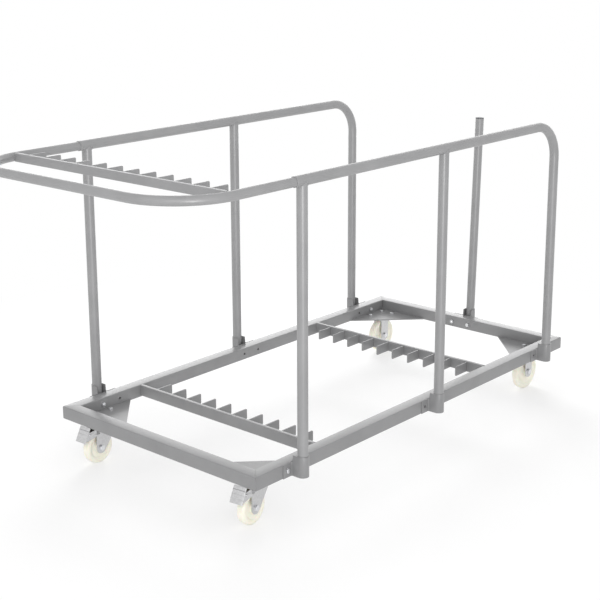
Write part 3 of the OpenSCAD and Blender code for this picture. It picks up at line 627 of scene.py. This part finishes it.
flange_hole, hole_r, drill_half, bolt_z = 34.35, 4.5, 26.0, rail_low + rail / 2
open_x = [post_x[0] + flange_hole, post_x[1] - flange_hole, post_x[1] + flange_hole, post_x[2] - flange_hole]
rod = np.stack([np.c_[hole_r * np.sin(turn), np.full(len(turn), y), hole_r * np.cos(turn)]
                for y in (-drill_half, drill_half)])
for side, y in (("left", -width / 2 + rail / 2), ("right", width / 2 - rail / 2)):
    rods = copies(skin(rod), [unturned] * 4, [[x, y, bolt_z] for x in open_x])
    for piece_name in (side + "_rail_tube", side + "_brackets"):
        drill(bpy.data.objects[piece_name], rods)

# %% [markdown]
# ## Bolts and nuts
# A hexagon head is turned down at its corners, which is what gives a bolt its curved edge lines: the rim
# drops below the flat top by the corner's extra radius times the tangent of 30 degrees. Six bolts hold
# the sockets, and three bolts hold each caster's plate.

# %% Hexagon heads, nuts and bolt ends
def hexagon(flats, height, both=False, dome=0.0):
    """Rings r(t) = flats / 2 / cos(t mod 60), chamfered to a circle at the top or both ends, top domed."""
    t = np.linspace(0, 2 * np.pi, 72, endpoint=False)
    r = flats / 2 / np.cos((t + np.pi / 6) % (np.pi / 3) - np.pi / 6)
    circle = np.full_like(r, flats * 0.475)
    drop = (r - circle) * math.tan(math.pi / 6)
    zero = np.zeros_like(t)
    rows = [(circle, zero), (r, drop)] if both else [(r, zero)]
    rows += [(r, height - drop - dome), (circle, zero + height - dome),
             (circle * 0.6, zero + height - 0.3 * dome), (circle * 0.2, zero + height)]
    return skin(np.stack([np.c_[q * np.cos(t), q * np.sin(t), z] for q, z in rows]))


def threaded_end(radius, start, end, pitch=1.25, depth=0.35):
    """Screw end along -z: rings that dip by the depth at each turn of the thread, and a chamfer."""
    z = np.linspace(start, end + 0.8, 25)
    r = radius - depth * (0.5 - 0.5 * np.cos(2 * np.pi * z / pitch))
    return lathe(np.c_[np.r_[r, radius - 1.0], np.r_[z, end]], 32, loop=False)


def bolt_set(flats, head, radius, grip, nut, past_nut=2.5):
    """A bolt with its head above z = 0 and its screw end below the grip, and the nut on it."""
    below = -grip - nut
    screw_end = threaded_end(radius, below + 0.2, below - past_nut)
    hex_nut = copies(hexagon(flats, nut, both=True), [unturned], [[0, 0, below]])
    return together(hexagon(flats, head, dome=0.8), screw_end), hex_nut


# %% Socket bolts and caster bolts
m8_flats, m8_head, m8_r, m8_nut = 13, 5.3, 4.0, 6.5
# turns whose third column is the way a bolt's head points: -Y, +Y and +X
facing = {"left": np.array([[1.0, 0, 0], [0, 0, -1], [0, 1, 0]]),
          "right": np.array([[-1.0, 0, 0], [0, 0, 1], [0, 1, 0]]),
          "rear": np.array([[0, 0, 1.0], [1, 0, 0], [0, 1, 0]])}
bolted_x = (post_x[0] - flange_hole, post_x[2] + flange_hole)
spots = [("left", [x, -width / 2 - strip_thick, bolt_z]) for x in bolted_x]
spots += [("right", [x, width / 2 + strip_thick, bolt_z]) for x in bolted_x]
spots += [("rear", [length + strip_thick, s * flange_hole, bolt_z]) for s in (-1, 1)]
turns, places = [facing[way_out] for way_out, _ in spots], [p for _, p in spots]
bolt, nut = bolt_set(m8_flats, m8_head, m8_r, rail + strip_thick, m8_nut)
make_piece("socket_bolt_heads", copies(bolt, turns, places), zinc_plate, "zinc_plate", "frame", "socket_bolts")
make_piece("socket_bolt_nuts", copies(nut, turns, places), zinc_plate, "zinc_plate", "frame", "socket_nuts")

plate_in, plate_y, bolt_u, bolt_v, top_plate_thick = 104, 318, 35, 25, 3.5
plate_middles = {name: (plate_in if sx > 0 else length - plate_in, sy * plate_y)
                 for name, (sx, sy) in corners.items()}
places = [[plate_middles[name][0] + u * bolt_u, plate_middles[name][1] + v * bolt_v, rail_low + gusset_thick]
          for name, (sx, sy) in corners.items() for u, v in ((-sx, sy), (-sx, -sy), (sx, sy))]
turns = [unturned] * len(places)
bolt, nut = bolt_set(m8_flats, m8_head, m8_r, gusset_thick + top_plate_thick, m8_nut)
make_piece("caster_bolt_heads", copies(bolt, turns, places), zinc_plate, "zinc_plate", "frame", "caster_bolts")
make_piece("caster_bolt_nuts", copies(nut, turns, places), zinc_plate, "zinc_plate", "frame", "caster_nuts")

# %% [markdown]
# ## Loose rear post
# The rear post is only dropped into its socket, so it leans outwards by two degrees. Its plastic cap is
# turned on a lathe: a low dome with a rounded rim.

# %% Leaning post and its cap
lean = math.radians(2)
lean_turn = np.array([[math.cos(lean), 0, math.sin(lean)], [0, 1, 0], [-math.sin(lean), 0, math.cos(lean)]])
seat_gap, post_length, loose_bore = 0.3, 768.0, 13.5
depth = socket_tall - strip_thick - seat_gap - tube_r * math.sin(lean)
foot = np.array([length + post_out, 0, rail_low + socket_tall]) + lean_turn @ [0, 0, -depth]
make_piece("leaning_post", copies(straight_tube(0, post_length, tube_r, loose_bore), [lean_turn], [foot]),
           tube_coat_with_painted_sheen, "frame_paint", "loose_post", "rear_post")
a = np.linspace(0, np.pi / 2, 7)
dome = np.r_[[[12.0, -14], [13.4, -12], [13.4, 0], [14.8, 0.2]],
             np.c_[13.2 + 1.7 * np.cos(a), 1.8 + 1.6 * np.sin(a)], [[8, 3.8], [3, 3.95]]]
post_top = foot + lean_turn @ [0, 0, post_length]
make_piece("post_cap", copies(lathe(dome, 48, loop=False), [lean_turn], [post_top]), polyethylene,
           "plug_plastic", "loose_post", "rear_post_cap")

# %% [markdown]
# ## Wheels
# The wheel is moulded in one piece: a tread with rounded edges and a fine parting line, a recessed web
# and a hub that stands out to take the side load. Turning its half section about the axle gives all that.
# The two rear casters are fixed ones with larger wheels, straight under their plates; the front ones
# swivel, so their wheels trail behind the plate's middle and rest at a small angle.

# %% Nylon wheels
def wheel(radius):
    """Half section (radius, across), mirrored and turned about the axle; the rim moves out with the radius."""
    hub = [[7.6, 15], [14.2, 15], [15.4, 14.6], [16, 13.6], [16.6, 10.6], [18.2, 9.4], [22, 9]]
    rim = [[20, 9], [18, 9.3], [16.2, 10.1], [14.6, 11.3], [13, 12.3], [11.2, 12.9], [8, 13],
           [5.4, 12.7], [3.2, 11.6], [1.6, 10], [0.6, 7.8], [0.2, 5], [0.1, 2.5], [0.1, 0.7]]
    half = np.r_[hub, [radius, 0] + np.array(rim) * [-1, 1]]
    return lathe(np.r_[half, [[radius - 0.02, 0]], half[::-1] * [1, -1]], 96)


def caster_turn(yaw):
    """Turn by an angle in degrees about z."""
    a = math.radians(yaw)
    return np.array([[math.cos(a), -math.sin(a), 0], [math.sin(a), math.cos(a), 0], [0, 0, 1]])


axle_turn = np.array([[1.0, 0, 0], [0, 0, -1], [0, 1, 0]])
trail, axle_z, rear_axle_z, axle_half = 43.0, 50.0, 62.5, 18.5
m10_flats, m10_head, m10_r, m10_nut = 16, 6.5, 5.0, 6.5
yaws = {"front_left": 6, "front_right": 1, "rear_left": 0, "rear_right": 0}
carriers = {name: name + "_caster" if name.startswith("front") else "frame" for name in corners}
bolt, nut = bolt_set(m10_flats, m10_head, m10_r, 2 * axle_half, m10_nut)
for name, (x, y) in plate_middles.items():
    spin = caster_turn(yaws[name])
    back_by, radius = (trail, axle_z) if name.startswith("front") else (0, rear_axle_z)
    hub = np.array([x, y, radius]) + spin @ [-back_by, 0, 0]
    make_piece(name + "_nylon_wheel", copies(wheel(radius), [spin @ axle_turn], [hub]), nylon, "nylon",
               name + "_wheel_body", name + "_wheel", sharp=28)
    near_end = hub + spin @ [0, -axle_half, 0]
    for part, shape in (("axle_bolt", bolt), ("axle_nut", nut)):
        make_piece(f"{name}_{part}_hex", copies(shape, [spin @ axle_turn], [near_end]), zinc_plate,
                   "zinc_plate", carriers[name], f"{name}_{part}")

# %% [markdown]
# ## Forks
# A caster's fork is one pressing: a flat crown with two cheeks bent down on a small radius to hold the
# axle. Its section across the caster is a U, and the U is carried from the front edge to the back, while
# the cheeks' lower edge follows the outline of the leg: slanting on the front casters, where the crown
# carries a ball race, and straight on the rear ones, where it sits under the plate.

# %% Pressed forks
cheek_r, rear_cheek_r, cheek_front, crown_z = 18.0, 20.0, 28.0, 114.5
crown_bend, rear_crown_bend = 110.0, 128.0
bend_middle, bend_r, half_sheet = 14.0, 3.25, 1.25


def leg_edge():
    """Lower edge (x, z) of a front cheek: a circle round the axle, then its tangent to the crown's front."""
    run, rise = trail + cheek_front, crown_z - axle_z
    tangent = math.atan2(rise, run) - math.acos(cheek_r / math.hypot(run, rise))
    a = np.linspace(math.pi, 2 * math.pi + tangent, 33)
    end = np.c_[cheek_r * np.cos(a) - trail, axle_z + cheek_r * np.sin(a)]
    slope = np.linspace(end[-1], [cheek_front, crown_z], 15)[1:]
    return np.minimum(np.r_[end, slope], [np.inf, crown_bend + 0.5])


def u_section(low, offset, bend_z):
    """Points (y, z) of the U, from one cheek's foot over the crown to the other's, offset outwards."""
    a = np.linspace(0, np.pi / 2, 7)
    r = bend_r + offset
    rise = np.linspace(0, 1, 4)[:-1]
    feet = low[:, None]
    wall = np.stack([np.full((len(low), 3), -bend_middle - r), feet + rise * (bend_z - feet)], -1)
    arc = np.c_[-bend_middle - r * np.cos(a), bend_z + r * np.sin(a)]
    half = np.concatenate([wall, np.broadcast_to(arc, (len(low), 7, 2))], 1)
    return np.concatenate([half, (half * [-1, 1])[:, ::-1]], 1)


def pressing(edge, bend_z):
    """The U's outer and inner line, at each x of the cheeks' lower edge."""
    x, low = edge.T
    outer, inner = (u_section(low, offset, bend_z) for offset in (half_sheet, -half_sheet))
    sheet = np.concatenate([outer, inner[:, ::-1]], 1)
    return skin(np.concatenate([np.broadcast_to(x[:, None, None], sheet.shape[:2] + (1,)), sheet], -1))


race = lathe([[6.2, 112], [34.4, 112], [35, 112.6], [35, 113.9], [34.4, 114.5], [33, 115.5], [32, 117.5],
              [31.8, 124.8], [31, 125.8], [18.2, 125.8], [17.2, 124.8], [17, 114.7], [6.2, 114.7]], 72)
pin_x, pin_z, lug_r = -trail - 43.5, axle_z + 53.0, 8.0
b = np.linspace(np.pi / 2, 3 * np.pi / 2, 15)
lug = np.r_[[[-48.0, pin_z - lug_r], [-48.0, 113.5], [-61.0, 113.5]],
            np.c_[pin_x + lug_r * np.cos(b), pin_z + lug_r * np.sin(b)]]
cheek_y = bend_middle + bend_r
lugs = copies(on_edge(plate(lug, -half_sheet, half_sheet, 0.4)), [unturned] * 2,
              [[0, -cheek_y, 0], [0, cheek_y, 0]])
b = np.linspace(np.pi, 2 * np.pi, 33)
straight_edge = np.c_[rear_cheek_r * np.cos(b), rear_axle_z + rear_cheek_r * np.sin(b)]
forks = {"front": together(pressing(leg_edge(), crown_bend), race, lugs),
         "rear": pressing(straight_edge, rear_crown_bend)}
for name, (x, y) in plate_middles.items():
    fork = forks[name.split("_")[0]]
    make_piece(name + "_pressed_fork", copies(fork, [caster_turn(yaws[name])], [[x, y, 0]]), dull_zinc,
               "zinc_plate", carriers[name], name + "_fork")

# %% [markdown]
# ## Brake pedals
# The front casters have a pedal on the trailing side. It is a pressed U: a steep foot plate with ribs
# across it for a shoe to grip, and two side walls that reach in past the fork's lugs to the pin. Behind
# the plate a barrel turns on that pin, and a block on it presses on the tread. The plate's section, with
# its row of ribs, is carried across the pedal's width.

# %% Ribbed pedals
pedal_angle, block_angle = 63, 42
rib_tall, rib_wide, rib_places = 1.1, 1.5, np.array([-7.75, 4.5, 16.75])
u = np.linspace(-20, 29, 99)
ribs = rib_tall * np.exp(-((u[:, None] - rib_places) / rib_wide) ** 2).sum(1)
tread_face, tread_back, tread_bevel, tread_half = -11.6, -8.6, 0.4, 21.0
tread = np.r_[np.c_[u, tread_face - ribs], np.c_[u[::-1], np.full(len(u), tread_back)]]
small = np.r_[np.c_[u * 0.975, tread_face + tread_bevel - ribs],
              np.c_[u[::-1] * 0.975, np.full(len(u), tread_back - tread_bevel)]]
steps = [(small, -tread_half), (tread, 0.7 - tread_half), (tread, tread_half - 0.7), (small, tread_half)]
foot_plate = skin(np.stack([np.c_[p, np.full(len(p), z)] for p, z in steps]))
wall = np.array([[-7, -10.1], [26, -10.1], [0, 25], [-7, 25]], float)
walls = [plate(wall, 19.1, 20.6, 0.3), plate(wall, -20.6, -19.1, 0.3)]
neck = plate(np.array([[-4, -10], [4, -10], [4, 0], [-4, 0]], float), -13, 13, 0.3)
barrel = straight_tube(-15, 15, 7.0, 4.1)
block = plate(np.array([[53.4, -7], [65.4, -7], [65.4, 7], [53.4, 7]]), -12, 12, 0.6)
pedal_shape = together(
    copies(together(foot_plate, *walls, neck, barrel), [axle_turn @ caster_turn(180 + pedal_angle)],
           [[pin_x, 0, pin_z]]),
    copies(block, [axle_turn @ caster_turn(180 - block_angle)], [[-trail, 0, axle_z]]))
for name in ("front_left", "front_right"):
    x, y = plate_middles[name]
    make_piece(name + "_ribbed_pedal", copies(pedal_shape, [caster_turn(yaws[name])], [[x, y, 0]]),
               dull_zinc, "zinc_plate", name + "_pedal", name + "_brake_pedal")

# %% [markdown]
# ## Finishes for the CAD pieces that stay
# The caster plates, kingpins, balls, bushes and pins are already the right shape, so they keep their CAD
# meshes and only take the zinc finish.

# %% Finishes on carried-over nodes
kept = [f"{c}_{p}" for c in corners for p in ("top_plate", "axle_bush")]
kept += ["kingpins", "swivel_balls", "front_left_pedal_pin", "front_right_pedal_pin"]
for node in kept:
    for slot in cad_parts[node].material_slots:
        slot.material = dull_zinc
print("kept CAD nodes:", len(kept))

# %% [markdown]
# ## Floor and light
# The photograph was lit like a shop's picture: white on every side, so that each face shows its own colour
# and only corners and the floor under the casters go grey. An even white world does most of it, and a
# wide lamp by the camera reaches in under the base, to the wheels. The floor is a pale plane that takes
# the soft shadows; half of what the camera sees of it is plain white, so the shadows stay faint, and
# further out it is all plain white, as a paper sweep is in such a picture.

# %% Floor
def seen_directly(tree):
    """1 for rays from the camera, in a reflection or through glass, and 0 for rays that carry light."""
    rays = add(tree, "ShaderNodeLightPath", {}).outputs
    seen = add(tree, "ShaderNodeMath", {0: rays["Is Camera Ray"], 1: rays["Is Glossy Ray"]},
               operation="MAXIMUM")
    return add(tree, "ShaderNodeMath", {0: seen.outputs[0], 1: rays["Is Transmission Ray"]},
               operation="MAXIMUM").outputs[0]


floor_half, near, far, near_white = 30.0, 0.8, 2.0, 0.5
floor_mesh = bpy.data.meshes.new("studio_floor")
floor_corners = np.array([[-1, -1, 0], [1, -1, 0], [1, 1, 0], [-1, 1, 0]]) * floor_half
floor_mesh.from_pydata(floor_corners.tolist(), [], [(0, 1, 2, 3)])
floor = bpy.data.objects.new("studio_floor", floor_mesh)
bpy.context.scene.collection.objects.link(floor)
floor_paint, tree, place = new_finish("white_studio_floor")
away = add(tree, "ShaderNodeVectorMath", {0: place}, operation="LENGTH").outputs["Value"]
fade = add(tree, "ShaderNodeMapRange",
           {"Value": away, "From Min": near, "From Max": far, "To Min": near_white, "To Max": 1.0},
           interpolation_type="SMOOTHSTEP").outputs["Result"]
share = add(tree, "ShaderNodeMath", {0: seen_directly(tree), 1: fade}, operation="MULTIPLY")
matt = add(tree, "ShaderNodeBsdfDiffuse", {"Color": colour("#fcfcfc")})
glow = add(tree, "ShaderNodeEmission", {"Color": colour("#ffffff"), "Strength": 1.0})
put_out(tree, add(tree, "ShaderNodeMixShader", {0: share.outputs[0], 1: matt.outputs[0], 2: glow.outputs[0]}))
floor_mesh.materials.append(floor_paint)
print("floor", 2 * floor_half, "m across")

# %% White world
world = bpy.data.worlds.new("white_studio")
bpy.context.scene.world = world
world.use_nodes = True
tree = world.node_tree
tree.nodes.clear()
soft = add(tree, "ShaderNodeBackground", {"Color": colour("#ffffff"), "Strength": 0.86})
white = add(tree, "ShaderNodeBackground", {"Color": colour("#ffffff"), "Strength": 1.0})
mixed = add(tree, "ShaderNodeMixShader", {0: seen_directly(tree), 1: soft.outputs[0], 2: white.outputs[0]})
add(tree, "ShaderNodeOutputWorld", {"Surface": mixed.outputs[0]})
print("world", world.name)

# %% [markdown]
# Three more lamps give what even light can't. A backdrop and a low strip beside the camera show in
# reflections only: one lightens the flat tops, which the camera sees at a low angle, and the other draws
# the fine light line down each post. A lamp behind the trolley lights the floor alone, so that the
# wheels' soft shadows fall towards the camera.

# %% Lamps
def lamp(name, where, aim, wide, tall, power):
    """A rectangular area lamp that looks from one point to another, in metres and watts."""
    light = bpy.data.lights.new(name, "AREA")
    light.shape, light.size, light.size_y, light.energy = "RECTANGLE", wide, tall, power
    holder = bpy.data.objects.new(name, light)
    bpy.context.scene.collection.objects.link(holder)
    holder.location = where
    holder.rotation_euler = Vector(np.asarray(aim) - where).to_track_quat("-Z", "Y").to_euler()
    holder.visible_camera = False
    print("lamp", name, "at", np.round(where, 2))
    return holder


ahead = np.array([-back[0], -back[1], 0]) / np.hypot(back[0], back[1])
lamp("front_lamp", eye + [0, 0, 0.2], [0, 0, 0.4], 3.0, 2.0, 40)
backdrop = lamp("backdrop", ahead * 5 + [0, 0, 1.6], [0, 0, 0.9], 8.0, 3.0, 150)
strip = lamp("strip", eye * [1, 1, 0] + right * 0.9 + [0, 0, 0.45], [0, 0, 0.5], 0.2, 0.9, 75)
for glint in (backdrop, strip):
    glint.visible_diffuse = False
floor_only = bpy.data.collections.new("floor_only")
floor_only.objects.link(floor)
behind = lamp("behind", ahead * 3.2 + [0, 0, 1.3], [0, 0, 0], 1.6, 0.8, 65)
behind.light_linking.receiver_collection = floor_only
behind.visible_glossy = False
bpy.context.scene.view_settings.view_transform = "Standard"
